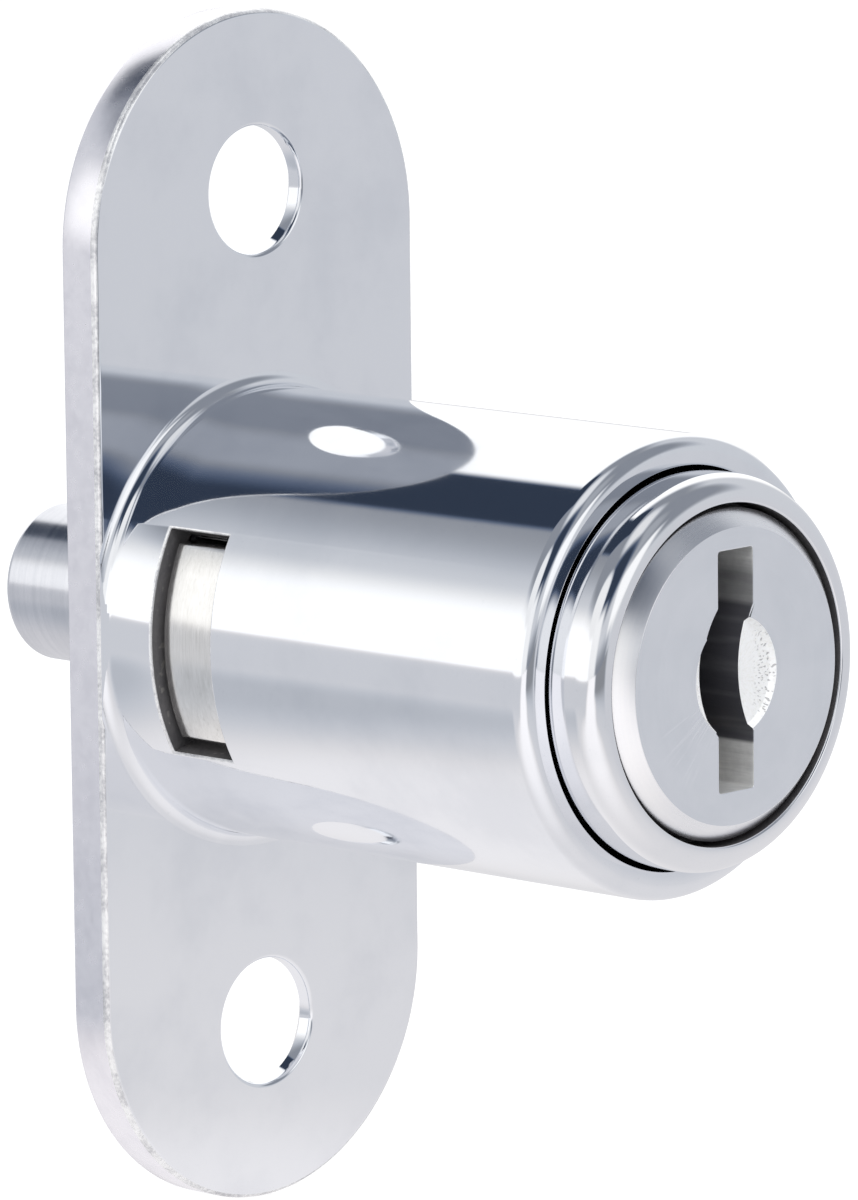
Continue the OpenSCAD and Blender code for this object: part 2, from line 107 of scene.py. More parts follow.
# %% [markdown]
# ## From a bmesh to a finished object
#
# Chrome shows every small error in the shading, so each piece is finished in the same way. Doubles
# are merged, faces turned outwards and smoothed, edges sharper than about 30 degrees stay crisp,
# and a Weighted Normal modifier lets large faces decide the shading of the small ones beside them.

# %% Finish a piece
WELD = 0.0004 * MM


def put_in_scene(name, data):
    """Makes an object at the origin and links it to the scene."""
    made = bpy.data.objects.new(name, data)
    bpy.context.scene.collection.objects.link(made)
    return made


def to_mesh(bm, name):
    """Writes a bmesh to a new mesh and frees it."""
    mesh = bpy.data.meshes.new(name)
    bm.to_mesh(mesh)
    bm.free()
    return mesh


def finish_piece(bm, name, body, finishes, crisp=32):
    """Makes the object with its finishes, and lets it ride on a body."""
    bmesh.ops.remove_doubles(bm, verts=bm.verts, dist=WELD)
    bmesh.ops.recalc_face_normals(bm, faces=bm.faces)
    for face in bm.faces:
        face.smooth = True
    mesh = to_mesh(bm, name)
    mesh.set_sharp_from_angle(angle=radians(crisp))
    for finish in finishes:
        mesh.materials.append(finish)
    piece = put_in_scene(name, mesh)
    weighted = piece.modifiers.new("Even shading", "WEIGHTED_NORMAL")
    weighted.keep_sharp = True
    weighted.weight = 80
    if body:
        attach(piece, body)
    print(name, "has", len(mesh.vertices), "vertices and", len(mesh.polygons), "faces")
    return piece


# %% Small helpers for bmesh work
NEAR = 0.001


def everything(bm):
    """All the geometry of a bmesh, as the operators want it."""
    return bm.verts[:] + bm.edges[:] + bm.faces[:]


def vertices_of(geometry):
    """The vertices among the geometry that an operator gave back."""
    return [item for item in geometry if isinstance(item, bmesh.types.BMVert)]


def middle_of(face):
    """A face's middle: across, forward and up, in millimetres."""
    middle = face.calc_center_median() / MM
    return middle.x, -middle.y, middle.z


def soften(bm, edges, width, segments, finish=-1):
    """Bevels edges by a width; the new faces may get a finish of their own."""
    bmesh.ops.bevel(bm, geom=edges, offset=width * MM, segments=segments, profile=0.5,
                    affect="EDGES", material=finish)


def spin_profile(bm, steps):
    """Spins whatever is drawn in the bmesh once round the lock's axis."""
    bmesh.ops.spin(bm, geom=bm.verts[:] + bm.edges[:], axis=(0, 1, 0), angle=2 * pi, steps=steps,
                   use_merge=True)
    bmesh.ops.remove_doubles(bm, verts=bm.verts, dist=WELD)


# %% [markdown]
# ## Writing a finish as sums
#
# A procedural finish is mostly arithmetic on noise. Wiring Math nodes by hand hides that, so the
# class below wraps a socket, and each operator on it adds the Math node that does the sum. A
# finish then reads like the formula it is.

# %% A socket that can be added and multiplied
def sum_of(operation, first, second=0.0):
    """Adds the Math node for one operation on signals or numbers."""
    tree = (first if isinstance(first, Signal) else second).tree
    return node(tree, "Math", {"operation": operation}, {0: first, 1: second})


def both_ways(operation):
    """The methods for an operator and its reflected form, as in mask - 1 and 1 - mask."""
    return (lambda self, other: sum_of(operation, self, other),
            lambda self, other: sum_of(operation, other, self))


class Signal:
    """The output of a node. Arithmetic on it adds nodes to the same tree."""

    __add__, __radd__ = both_ways("ADD")
    __sub__, __rsub__ = both_ways("SUBTRACT")
    __mul__, __rmul__ = both_ways("MULTIPLY")
    __truediv__, __rtruediv__ = both_ways("DIVIDE")
    __pow__, __rpow__ = both_ways("POWER")

    def __init__(self, tree, socket):
        self.tree = tree
        self.socket = socket

    def ramp(self, start, end, low=0.0, high=1.0):
        """Runs smoothly from low at start to high at end, and stays there."""
        sockets = {"Value": self, "From Min": start, "From Max": end, "To Min": low, "To Max": high}
        return node(self.tree, "MapRange", {"interpolation_type": "SMOOTHSTEP"}, sockets)


def node(tree, kind, settings=None, sockets=None, output=0):
    """Adds any shader node: its settings first, then the values or links of its sockets."""
    made = tree.nodes.new("ShaderNode" + kind)
    for name, value in (settings or {}).items():
        setattr(made, name, value)
    for key, value in (sockets or {}).items():
        if isinstance(value, Signal):
            tree.links.new(value.socket, made.inputs[key])
        else:
            made.inputs[key].default_value = value
    return Signal(tree, made.outputs[output])


# %% Colours, places, noise and the finish itself
def srgb(red, green, blue):
    """A colour as it looks on screen, 0 to 255, as Blender's linear one."""
    linear = []
    for value in (red / 255, green / 255, blue / 255):
        linear.append(value / 12.92 if value <= 0.04045 else ((value + 0.055) / 1.055) ** 2.4)
    return (*linear, 1.0)


def blend(factor, first, second):
    """Mixes two colours by a signal. 6, 7 and 2 are the colour sockets of a Mix node."""
    sockets = {0: factor, 6: first, 7: second}
    return node(factor.tree, "Mix", {"data_type": "RGBA"}, sockets, output=2)


def object_place(tree, scale=(1, 1, 1), shift=(0, 0, 0)):
    """Object coordinates in millimetres, stretched and shifted to suit a pattern."""
    coordinates = node(tree, "TexCoord", output="Object")
    stretch = [value / MM for value in scale]
    sockets = {"Vector": coordinates, "Scale": stretch, "Location": shift}
    return node(tree, "Mapping", None, sockets)


def part_of(vector, axis):
    """One coordinate of a vector as a number."""
    return node(vector.tree, "SeparateXYZ", None, {0: vector}, output=axis)


def vector_of(x, y, z=0.0):
    """A vector of a signal and two more signals or numbers."""
    return node(x.tree, "CombineXYZ", None, {0: x, 1: y, 2: z})


def noise(vector, scale, detail, roughness):
    """Soft noise between 0 and 1 with a size of about 1 / scale of the vector's unit."""
    sockets = {"Vector": vector, "Scale": scale, "Detail": detail, "Roughness": roughness}
    return node(vector.tree, "TexNoise", None, sockets)


def new_finish(name, metallic=1.0, seed=0.0):
    """An empty finish, its node tree, and the place on the object, shifted by a seed."""
    material = bpy.data.materials.new(name)
    material.use_nodes = True
    tree = material.node_tree
    tree.nodes["Principled BSDF"].inputs["Metallic"].default_value = metallic
    return material, tree, object_place(tree, shift=(seed, seed, seed))


def dress(material, colours, roughness, relief, height):
    """Feeds the shader: a factor and the colours it blends, and a relief in millimetres."""
    tree = material.node_tree
    sockets = {"Height": relief, "Strength": 1.0, "Distance": height * MM}
    fed = {"Base Color": blend(*colours), "Roughness": roughness,
           "Normal": node(tree, "Bump", None, sockets)}
    for name, signal in fed.items():
        tree.links.new(signal.socket, tree.nodes["Principled BSDF"].inputs[name])
    return material


print("the chrome's grey is", [round(c, 3) for c in srgb(238, 240, 244)])

# %% [markdown]
# ## Bright chrome
#
# The casting and the barrel are polished zinc with a thin layer of chrome. It is a mirror, but
# never a perfect one: the polish leaves very shallow waves, fine lines where the buffing wheel
# ran, and a faint bloom from handling. The waves go to the bump, the lines and the bloom to the
# roughness, and the colour changes only by a hair, because a mirror's colour is what it reflects.

# %% Chrome for the casting, and for the barrel
POLISH_WAVE = 0.0006


def chrome_finish(name, colour, bloom_colour, seed=0.0):
    """Polished chrome with shallow waves, buffing lines, bloom and a few specks."""
    material, tree, here = new_finish(name, seed=seed)
    along = object_place(tree, scale=(6.0, 0.35, 6.0), shift=(seed, 0, 0))
    bloom = noise(here, 0.16, 4.0, 0.6).ramp(0.42, 0.72)
    waves = noise(here, 0.55, 1.0, 0.4)
    lines = noise(along, 2.2, 3.0, 0.7)
    specks = noise(here, 7.0, 2.0, 0.6).ramp(0.66, 0.74)
    return dress(material, (bloom * 0.5 + specks * 0.3, colour, bloom_colour),
                 0.035 + bloom * 0.025 + lines * 0.03 + specks * 0.05,
                 waves + lines * 0.012 - specks * 0.02, POLISH_WAVE)


CHROME = chrome_finish("bright_chrome", srgb(238, 240, 244), srgb(222, 225, 231))
BARREL_CHROME = chrome_finish("polished_barrel", srgb(240, 241, 244), srgb(225, 228, 232), 31.0)
print("made", CHROME.name, "and", BARREL_CHROME.name)

# %% [markdown]
# The walls of the window, of the seat round the plug and of the plug's side lie in narrow gaps.
# They get a dull finish, and its dark, even grey beside the chrome is painted shade for those gaps,
# with a few paler specks where the casting is rough.

# %% The walls in the gaps, dark with painted shade
# a dull finish whose dark, even grey is painted shade for the narrow gaps
SHADED_GAP_WALL, _, here = new_finish("gap_wall_painted_shade", metallic=0.35)
cloud = noise(here, 0.9, 3.0, 0.6)
grain = noise(here, 5.0, 3.0, 0.65)
specks = noise(here, 3.0, 1.0, 0.5).ramp(0.66, 0.74)
wall_mottle = (cloud * 0.6 + grain * 0.4).ramp(0.35, 0.65)
greys = blend(wall_mottle, srgb(90, 89, 91), srgb(106, 104, 105))
dress(SHADED_GAP_WALL, (specks, greys, srgb(124, 122, 120)), 0.45 + grain * 0.2 - specks * 0.2,
      grain + cloud * 0.5, 0.01)
print("made", SHADED_GAP_WALL.name)

# %% [markdown]
# The plate's side is left as the casting die made it: the same chrome on a surface that was only
# tumbled, so it reflects softly and looks a little more violet than the front. Along the front rim
# and round the window the buffing wheel leaves a fine, uneven line, and its near-white colour, only
# partly metal, is a painted highlight.

# %% Finishes of the plate's side, and of the rims with a painted highlight line
def tumbled_finish(name, colour, dark, roughness, relief, grain_size, metallic=1.0):
    """Soft chrome over a tumbled surface: uneven in tone and in height."""
    material, _, here = new_finish(name, metallic)
    cloud = noise(here, 0.5, 3.0, 0.6)
    grain = noise(here, 1 / grain_size, 2.0, 0.6)
    tone = (cloud * 0.6 + grain * 0.4).ramp(0.33, 0.62)
    return dress(material, (tone, dark, colour), roughness + grain * 0.1 - 0.05, grain, relief)


PLATE_SIDE = tumbled_finish("tumbled_side", srgb(247, 246, 251), srgb(238, 237, 243),
                            0.26, 0.0004, 0.6)
# near white and only partly metal: a painted highlight line on the buffed rims
RIM_PAINTED_HIGHLIGHT = tumbled_finish("rim_painted_highlight", srgb(255, 255, 255), srgb(196, 196, 200),
                            0.24, 0.006, 0.16, metallic=0.6)
print("made", PLATE_SIDE.name, "and", RIM_PAINTED_HIGHLIGHT.name)

# %% [markdown]
# ## The tube of the housing
#
# The housing is a tube with a window in its left side. A window cut through a round wall is hard
# to bevel, but easy while the wall is still flat. So the section is pushed out along a straight
# line into a long bar, the window is cut and its edges are rounded, and then the bar is sliced
# across into narrow strips and rolled up.

# %% Roll a straight bar up into a tube
SLICES = 340


def push_out(bm, stations):
    """Pushes a section out along X, with an edge loop at each station."""
    bmesh.ops.translate(bm, verts=bm.verts, vec=place(stations[0], 0, 0))
    ring = bm.edges[:]
    for start, end in zip(stations, stations[1:]):
        made = bmesh.ops.extrude_edge_only(bm, edges=ring)["geom"]
        ring = [item for item in made if isinstance(item, bmesh.types.BMEdge)]
        bmesh.ops.translate(bm, verts=vertices_of(made), vec=place(end - start, 0, 0))


def cut_plane(bm, geometry, point, normal, throw_away=False):
    """Cuts by a plane, and may throw away what the normal points to."""
    bmesh.ops.bisect_plane(bm, geom=geometry, dist=WELD / 2, plane_co=point, plane_no=normal,
                           clear_outer=throw_away)


def slice_across(bm, axis, cuts):
    """Cuts the whole bmesh by planes across one axis."""
    normal = Vector([float(letter == axis) for letter in "XYZ"])
    for cut in cuts:
        cut_plane(bm, everything(bm), normal * cut * MM, normal)


def roll_up(bm, radius, side):
    """Slices a bar of length 2 pi radius and rolls it up, with its middle at the given side."""
    step = 2 * pi * radius / SLICES
    slice_across(bm, "X", [k * step for k in range(1 - SLICES // 2, SLICES // 2)])
    for vertex in bm.verts:
        angle = vertex.co.x / (radius * MM)
        height = vertex.co.z
        vertex.co.x = side * height * cos(angle)
        vertex.co.z = height * sin(angle)
    bmesh.ops.remove_doubles(bm, verts=bm.verts, dist=WELD)


# %% Cut the window while the wall is flat
BORE_RADIUS = 8.25
WINDOW_REAR = 2.9
WINDOW_FRONT = 6.3
WINDOW_SLICES = 28
WINDOW_FLARE = 1.8
WINDOW_EDGE = 0.1
HOUSING_PARTS = [CHROME, SHADED_GAP_WALL, RIM_PAINTED_HIGHLIGHT]


def faces_between(bm, half_width, rear, front, height, within=NEAR):
    """Faces of the flat bar inside a rectangle, at a height above the bar's underside."""
    def inside(across, forward, up):
        return abs(across) < half_width and rear < forward < front and abs(up - height) < within

    return [face for face in bm.faces if inside(*middle_of(face))]


def cut_window(bm, half_width):
    """Opens the wall from skin to bore, flares the opening inwards and rounds its edges."""
    outer, inner = [faces_between(bm, half_width, WINDOW_REAR, WINDOW_FRONT, radius)[0]
                    for radius in (HOUSING_RADIUS, BORE_RADIUS)]
    rim = outer.edges[:] + inner.edges[:]
    for vertex in inner.verts:
        vertex.co.x *= 1 + radians(WINDOW_FLARE) * HOUSING_RADIUS / half_width
    bmesh.ops.delete(bm, geom=[outer, inner], context="FACES_ONLY")
    walls = bmesh.ops.bridge_loops(bm, edges=rim)["faces"]
    # the window's walls get the dark grey of painted shade
    for face in walls:
        face.material_index = HOUSING_PARTS.index(SHADED_GAP_WALL)
    lip = []
    for edge in bm.edges:
        on_skin = all(abs(vertex.co.z / MM - HOUSING_RADIUS) < NEAR for vertex in edge.verts)
        if on_skin and sum(face in walls for face in edge.link_faces) == 1:
            lip.append(edge)
    # the lip gets the rim's painted highlight line
    soften(bm, lip, WINDOW_EDGE, 2, finish=HOUSING_PARTS.index(RIM_PAINTED_HIGHLIGHT))
    print("window lip has", len(lip), "edges")


# %% [markdown]
# The section runs from the fillet at the foot, up the skin, over the rounded rim, down the bore,
# across its floor and back under the plate. The fillet is wider than the plate, so after rolling
# it is trimmed flush with the plate's two long edges, as the real casting is. Where two surfaces
# would lie in one plane, one is moved by a hair or sunk a little.

# %% Make the housing
HOUSING_LENGTH = 23.9
BORE_FLOOR = -0.8
BOLT_HOLE_RADIUS = 3.5
FOOT_FILLET = 0.6
HAIR = 0.001
SUNK = 0.02


def close_holes(bm):
    """Fills every open loop of the bmesh with a face."""
    open_edges = [edge for edge in bm.edges if edge.is_boundary]
    bmesh.ops.holes_fill(bm, edges=open_edges)
    print("closed", len(open_edges), "open edges")


bm = bmesh.new()
foot_radius = HOUSING_RADIUS + FOOT_FILLET + HAIR
draw_profile(bm, [
    (foot_radius, 0),
    (HOUSING_RADIUS, 0, FOOT_FILLET),
    (HOUSING_RADIUS, HOUSING_LENGTH, 0.7),
    (BORE_RADIUS, HOUSING_LENGTH, 0.12),
    (BORE_RADIUS, BORE_FLOOR, 0.1),
    (BOLT_HOLE_RADIUS, BORE_FLOOR, 0.1),
    (BOLT_HOLE_RADIUS, -PLATE_THICKNESS, 0.15),
    (ROOT_RADIUS, -PLATE_THICKNESS),
    (ROOT_RADIUS, -SUNK),
    (foot_radius, -SUNK),
])
half_turn = pi * HOUSING_RADIUS
window_half = WINDOW_SLICES * 2 * half_turn / SLICES
push_out(bm, [-half_turn, -window_half, window_half, half_turn])
slice_across(bm, "Y", [-WINDOW_REAR, -WINDOW_FRONT])
cut_window(bm, window_half)
roll_up(bm, HOUSING_RADIUS, side=-1)
for side in (-1, 1):
    foot = set()
    for face in bm.faces:
        if -0.05 < middle_of(face)[1] < FOOT_FILLET:
            foot.update([face], face.verts, face.edges)
    plate_side = place(side * (PLATE_WIDTH / 2 + HAIR), 0, 0)
    cut_plane(bm, list(foot), plate_side, (side, 0, 0), throw_away=True)
close_holes(bm)
housing = finish_piece(bm, "housing_tube", "base", HOUSING_PARTS)

# %% [markdown]
# ## The plate
#
# The plate is a flat bar with full round ends. Its outline is half a circle, spun from one vertex
# and copied by a half turn. The screw holes and the hole for the tube are more loops inside it, so
# one fill makes a face with holes, and solidify gives it the thickness of the bar. The rear of
# each screw hole gets its countersink from a wide bevel of the hole's edge.

# %% Make the plate
SCREW_HOLE_HEIGHT = 17.8
SCREW_HOLE_RADIUS = 2.7
UPRIGHT = Matrix.Rotation(pi / 2, 4, "X")
bm = bmesh.new()
end_centre = (PLATE_LENGTH - PLATE_WIDTH) / 2
corner = bm.verts.new(place(PLATE_WIDTH / 2, 0, end_centre))
bmesh.ops.spin(bm, geom=[corner], cent=place(0, 0, end_centre), axis=(0, -1, 0), angle=pi,
               steps=120)
copied = bmesh.ops.duplicate(bm, geom=bm.verts[:] + bm.edges[:])["geom"]
bmesh.ops.rotate(bm, verts=vertices_of(copied), matrix=Matrix.Rotation(pi, 3, "Y"))
loose_ends = [vertex for vertex in bm.verts if len(vertex.link_edges) == 1]
for side in (-1, 1):
    bm.edges.new([vertex for vertex in loose_ends if vertex.co.x * side > 0])
for height, radius in ((SCREW_HOLE_HEIGHT, SCREW_HOLE_RADIUS),
                       (-SCREW_HOLE_HEIGHT, SCREW_HOLE_RADIUS), (0, ROOT_RADIUS)):
    bmesh.ops.create_circle(bm, radius=radius * MM, segments=128,
                            matrix=Matrix.Translation(place(0, 0, height)) @ UPRIGHT)
bmesh.ops.triangle_fill(bm, use_beauty=True, edges=bm.edges, normal=(0, -1, 0))
bmesh.ops.dissolve_limit(bm, angle_limit=0.01, verts=bm.verts, edges=bm.edges,
                         delimit={"NORMAL"})
bmesh.ops.recalc_face_normals(bm, faces=bm.faces)
bmesh.ops.solidify(bm, geom=bm.faces[:], thickness=PLATE_THICKNESS * MM)
rear = max(vertex.co.y for vertex in bm.verts)
bmesh.ops.translate(bm, verts=bm.verts, vec=(0, PLATE_THICKNESS * MM - rear, 0))
bmesh.ops.recalc_face_normals(bm, faces=bm.faces)

# %% Countersink the screw holes and round the plate's edges
COUNTERSINK = 1.3
HOLE_EDGE = 0.2
FRONT_EDGE = 0.26
REAR_EDGE = 0.16
SHARP_TURN = 0.5
PLATE_PARTS = [CHROME, PLATE_SIDE, RIM_PAINTED_HIGHLIGHT]


def edge_ring(bm, forward, centre_height, smallest, largest):
    """Sharp edges at one place forward, within a ring round a centre on the plate."""
    found = []
    for edge in bm.edges:
        flat = all(abs(vertex.co.y / MM + forward) < NEAR for vertex in edge.verts)
        away = [hypot(vertex.co.x / MM, vertex.co.z / MM - centre_height) for vertex in edge.verts]
        turning = abs(edge.calc_face_angle(0)) > SHARP_TURN
        if flat and turning and smallest < min(away) and max(away) < largest:
            found.append(edge)
    return found


hole_ring = (SCREW_HOLE_RADIUS - 0.1, SCREW_HOLE_RADIUS + 0.1)
for height in (SCREW_HOLE_HEIGHT, -SCREW_HOLE_HEIGHT):
    soften(bm, edge_ring(bm, -PLATE_THICKNESS, height, *hole_ring), COUNTERSINK, 1)
    soften(bm, edge_ring(bm, 0, height, *hole_ring), HOLE_EDGE, 4)
outline = (PLATE_WIDTH / 2 - 0.1, PLATE_LENGTH)
soften(bm, edge_ring(bm, 0, 0, *outline), FRONT_EDGE, 4)
soften(bm, edge_ring(bm, -PLATE_THICKNESS, 0, *outline), REAR_EDGE, 3)
# the front rim gets its painted highlight line, and the side stays tumbled chrome
for face in bm.faces:
    across, forward, up = middle_of(face)
    from_middle = hypot(across, max(abs(up) - end_centre, 0))
    if from_middle > PLATE_WIDTH / 2 - FRONT_EDGE - SUNK and abs(face.normal.y) < 0.98:
        finish = PLATE_SIDE if forward < -FRONT_EDGE else RIM_PAINTED_HIGHLIGHT
        face.material_index = PLATE_PARTS.index(finish)
plate = finish_piece(bm, "mounting_plate", "base", PLATE_PARTS)
for piece in (housing, plate):
    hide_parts("housing")

# %% [markdown]
# ## The barrel
#
# The barrel is the push button. Its nose stands out of the rim with a broad rounded edge, and its
# guided part carries a lengthwise groove on the right, in which the guide pin runs. The groove is
# sunk while the wall is still flat, in the same way as the window. Behind the slot for the catch
# only the upper and the lower part of the ring are left.

# %% Make the barrel's sleeve
BARREL_FRONT = 26.3
NOSE_RADIUS = 8.12
NOSE_REAR = 14.0
GUIDE_RADIUS = 8.2
GUIDE_FRONT = 13.85
SLOT_FRONT = 6.3
PLUG_BORE = 6.05
SEAT_RADIUS = 6.97
SEAT_FLOOR = 24.55
SEAT_EDGE = 0.1
GROOVE_REAR = 7.95
GROOVE_FRONT = 19.05
GROOVE_HALF = 1.05
GROOVE_FLOOR = 7.1
BARREL_PARTS = [BARREL_CHROME, SHADED_GAP_WALL]
bm = bmesh.new()
draw_profile(bm, [
    (PLUG_BORE, SLOT_FRONT),
    (GUIDE_RADIUS, SLOT_FRONT),
    (GUIDE_RADIUS, GUIDE_FRONT),
    (NOSE_RADIUS, NOSE_REAR),
    (NOSE_RADIUS, BARREL_FRONT, 1.0),
    (SEAT_RADIUS, BARREL_FRONT, SEAT_EDGE),
    (SEAT_RADIUS, SEAT_FLOOR),
    (PLUG_BORE, SEAT_FLOOR),
], segments=14)
half_turn = pi * GUIDE_RADIUS
push_out(bm, [-half_turn, -GROOVE_HALF, GROOVE_HALF, half_turn])
slice_across(bm, "Y", [-GROOVE_REAR, -GROOVE_FRONT])
sunk_faces = faces_between(bm, GROOVE_HALF, GROOVE_REAR, GROOVE_FRONT, GUIDE_RADIUS, within=0.1)
made = bmesh.ops.extrude_face_region(bm, geom=sunk_faces)["geom"]
for vertex in vertices_of(made):
    vertex.co.z = GROOVE_FLOOR * MM


def at_groove_corner(vertex):
    """Whether a vertex is at one of the groove's four corners."""
    to_end = min(abs(vertex.co.y / MM + end) for end in (GROOVE_REAR, GROOVE_FRONT))
    return to_end < NEAR and abs(abs(vertex.co.x / MM) - GROOVE_HALF) < NEAR


corners = []
for edge in bm.edges:
    upright = abs(edge.verts[0].co.z - edge.verts[1].co.z) > 0.5 * MM
    if upright and all(at_groove_corner(vertex) for vertex in edge.verts):
        corners.append(edge)
soften(bm, corners, GROOVE_HALF * 0.98, 8)
roll_up(bm, GUIDE_RADIUS, side=1)
# the seat round the plug gets the dark grey of painted shade for its gap
for face in bm.faces:
    across, forward, up = middle_of(face)
    in_seat = hypot(across, up) < SEAT_RADIUS + 0.02
    if in_seat and SEAT_FLOOR - 0.01 < forward < BARREL_FRONT - SEAT_EDGE + 0.01:
        face.material_index = BARREL_PARTS.index(SHADED_GAP_WALL)
print("groove:", len(sunk_faces), "faces sunk,", len(corners), "corners rounded")

# %% Add the two parts of the ring above and below the catch
RING_BORE = 4.4
SLOT_HALF = 4.2
for side in (-1, 1):
    ring = bmesh.new()
    draw_profile(ring, [(RING_BORE, BARREL_REAR), (GUIDE_RADIUS, BARREL_REAR, 0.2),
                        (GUIDE_RADIUS, SLOT_FRONT), (RING_BORE, SLOT_FRONT)])
    spin_profile(ring, 120)
    cut_plane(ring, everything(ring), place(0, 0, side * SLOT_HALF), (0, 0, -side), True)
    close_holes(ring)
    part = to_mesh(ring, "ring_part")
    bm.from_mesh(part)
    bpy.data.meshes.remove(part)
barrel = finish_piece(bm, "barrel_sleeve", "plunger", BARREL_PARTS)
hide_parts("barrel")

# %% [markdown]
# ## The bolt
#
# The bolt is a plain turned pin with a small rounding at its end, a thinner neck where it passes
# the rear wall and a spigot that is staked in the end disc. Fine turning marks run round it, so
# its chrome has rings instead of waves.

# %% A finish with turning rings round the lock's axis
def from_axis(here, seed=0.0):
    """How far a place is across, up and away from the lock's axis."""
    across, up = part_of(here, "X") - seed, part_of(here, "Z") - seed
    return across, up, (across * across + up * up) ** 0.5


def turned_finish(name, colour, dark, roughness, ring_size, relief, seed=0.0):
    """Plated metal that was turned: rings round the axis, broken up by soft noise."""
    material, _, here = new_finish(name, seed=seed)
    radius = from_axis(here, seed)[2]
    rings = noise(vector_of(radius, part_of(here, "Y")), 1 / ring_size, 3.0, 0.65)
    bloom = noise(here, 0.35, 3.0, 0.6)
    grain = noise(here, 9.0, 2.0, 0.6)
    tone = (rings * 0.5 + bloom * 0.4 + grain * 0.1).ramp(0.35, 0.68)
    return dress(material, (tone, dark, colour), roughness + rings * 0.08 - 0.04 + bloom * 0.06,
                 rings + grain * 0.25, relief)


BOLT_CHROME = turned_finish("turned_bolt", srgb(228, 229, 234), srgb(212, 214, 220),
                            0.15, 0.5, 0.0005)
STEEL = turned_finish("plain_steel", srgb(190, 192, 197), srgb(160, 163, 170),
                      0.24, 0.3, 0.002, seed=5.0)

# %% Make the bolt
BOLT_RADIUS = 3.4
BOLT_END = -12.2
NECK_RADIUS = 2.9
NECK_REAR = -2.3
NECK_FRONT = 1.65
SPIGOT_RADIUS = 2.2
bm = bmesh.new()
draw_profile(bm, [
    (0, BARREL_REAR), (SPIGOT_RADIUS, BARREL_REAR, 0.1), (SPIGOT_RADIUS, NECK_FRONT),
    (NECK_RADIUS, NECK_FRONT), (NECK_RADIUS, NECK_REAR), (BOLT_RADIUS, NECK_REAR, 0.15),
    (BOLT_RADIUS, BOLT_END, 0.35), (0, BOLT_END),
], closed=False)
spin_profile(bm, 192)
bolt = finish_piece(bm, "bolt_pin", "plunger", [BOLT_CHROME])
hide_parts("bolt")

# %% [markdown]
# ## The catch
#
# The catch is a sliding block whose outer face follows the housing's round skin. It starts as a
# cube, its edges are bevelled while they are straight, it is sliced in thin layers, and each layer
# is pushed back until the left face lies on a circle. The real one was ground along the curve,
# which leaves fine upright lines and a satin, warmer grey than the chrome round it.

# %% A finish ground along one direction
def ground_finish(name, colour, dark, stretch, line_size, roughness, relief, seed=0.0):
    """Satin metal with fine lines along one axis, in two sizes, and a few deeper scratches."""
    material, tree, _ = new_finish(name)
    here = object_place(tree, scale=stretch, shift=(seed, seed, seed))
    fine = noise(here, 1 / line_size, 3.0, 0.7)
    coarse = noise(here, 0.3 / line_size, 2.0, 0.6)
    scratches = noise(here, 0.75 / line_size, 1.0, 0.5).ramp(0.68, 0.76)
    cloud = noise(object_place(tree, shift=(seed, 0, 0)), 0.5, 3.0, 0.6)
    tone = (fine * 0.35 + coarse * 0.25 + cloud * 0.4 - scratches * 0.2).ramp(0.32, 0.66)
    return dress(material, (tone, dark, colour), roughness + fine * 0.14 - 0.07 + cloud * 0.06,
                 fine * 0.6 + coarse * 0.4 - scratches * 0.5, relief)


CATCH_SATIN = ground_finish("ground_catch", srgb(246, 245, 243), srgb(226, 225, 222),
                            (1.0, 1.0, 0.05), 0.09, 0.12, 0.0012)

# %% Make the catch
CATCH_RADIUS = 9.0
CATCH_HALF = 4.1
CATCH_REAR = 3.15
CATCH_FRONT = 6.2
CATCH_TAIL = 4.9
CURVE_END = -5.0
CATCH_MIDDLE = (CATCH_REAR + CATCH_FRONT) / 2
bm = bmesh.new()
bmesh.ops.create_cube(bm, size=MM)
bmesh.ops.scale(bm, verts=bm.verts,
                vec=(CATCH_RADIUS + CATCH_TAIL, CATCH_FRONT - CATCH_REAR, 2 * CATCH_HALF))
bmesh.ops.translate(bm, verts=bm.verts,
                    vec=place((CATCH_TAIL - CATCH_RADIUS) / 2, CATCH_MIDDLE, 0))
soften(bm, bm.edges[:], 0.1, 3)
slice_across(bm, "Z", [k * 0.1 for k in range(-40, 41)])
slice_across(bm, "X", [CURVE_END])
for vertex in bm.verts:
    height = vertex.co.z / MM
    if vertex.co.x < CURVE_END * MM:
        vertex.co.x += (CATCH_RADIUS - sqrt(CATCH_RADIUS ** 2 - height ** 2)) * MM
catch = finish_piece(bm, "catch_block", "catch_plate", [CATCH_SATIN])
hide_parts("catch")

# %% [markdown]
# ## The plug and its keyway
#
# The plug is turned, with a bevel round its face and a drilled dimple in the middle, and then a
# broach cuts the keyway through it. The same order is followed here: a spun profile first, then a
# cutter in the shape of the keyway. Its outline has straight ends and a middle that bows to the
# left, so its two sides are arcs spun from single vertices. The bevel keeps the satin of the lathe,
# so it stays pale where the smoother face beside it mirrors the grey parts of the studio.

# %% The plug's face: faint turning rings, and radial scratches at the lower left with a painted highlight
PLUG_FACE, _, here = new_finish("plug_face")
across, up, radius = from_axis(here)
angle = sum_of("ARCTAN2", up, across * -1.0)
rings = noise(vector_of(radius, 0.0), 4.0, 3.0, 0.7)
rays = noise(vector_of(angle * 9.0, radius * 0.10, 3.0), 2.6, 2.0, 0.6).ramp(0.52, 0.66)
lower_left = ((across * -0.78 + up * -0.62) / radius).ramp(0.90, 0.985)
